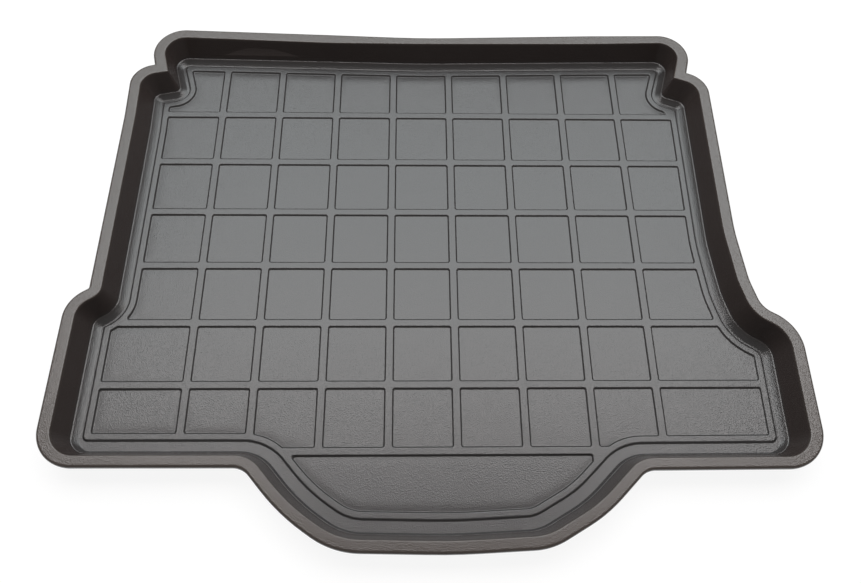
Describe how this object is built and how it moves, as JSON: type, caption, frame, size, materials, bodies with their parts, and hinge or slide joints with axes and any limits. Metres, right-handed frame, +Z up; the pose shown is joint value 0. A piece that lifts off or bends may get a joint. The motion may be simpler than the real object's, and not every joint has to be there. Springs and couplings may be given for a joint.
{
  "type": "boot liner",
  "caption": "Shallow one-piece plastic tray for a car boot: turned-down lip, leaning walls, notched sides, a bulged near edge and a raised grid of square pads.",
  "frame": {"origin": "middle of the overall length and width, on the underside of the floor", "axes": "+X across the car, +Y from the loading edge towards the back seats, +Z up"},
  "size_m": [1.1018, 0.9016, 0.049],
  "materials": {
    "black_plastic": "fine grained, slightly glossy black"
  },
  "bodies": {
    "root": {"boot_liner": "black_plastic"}
  },
  "joints": []
}
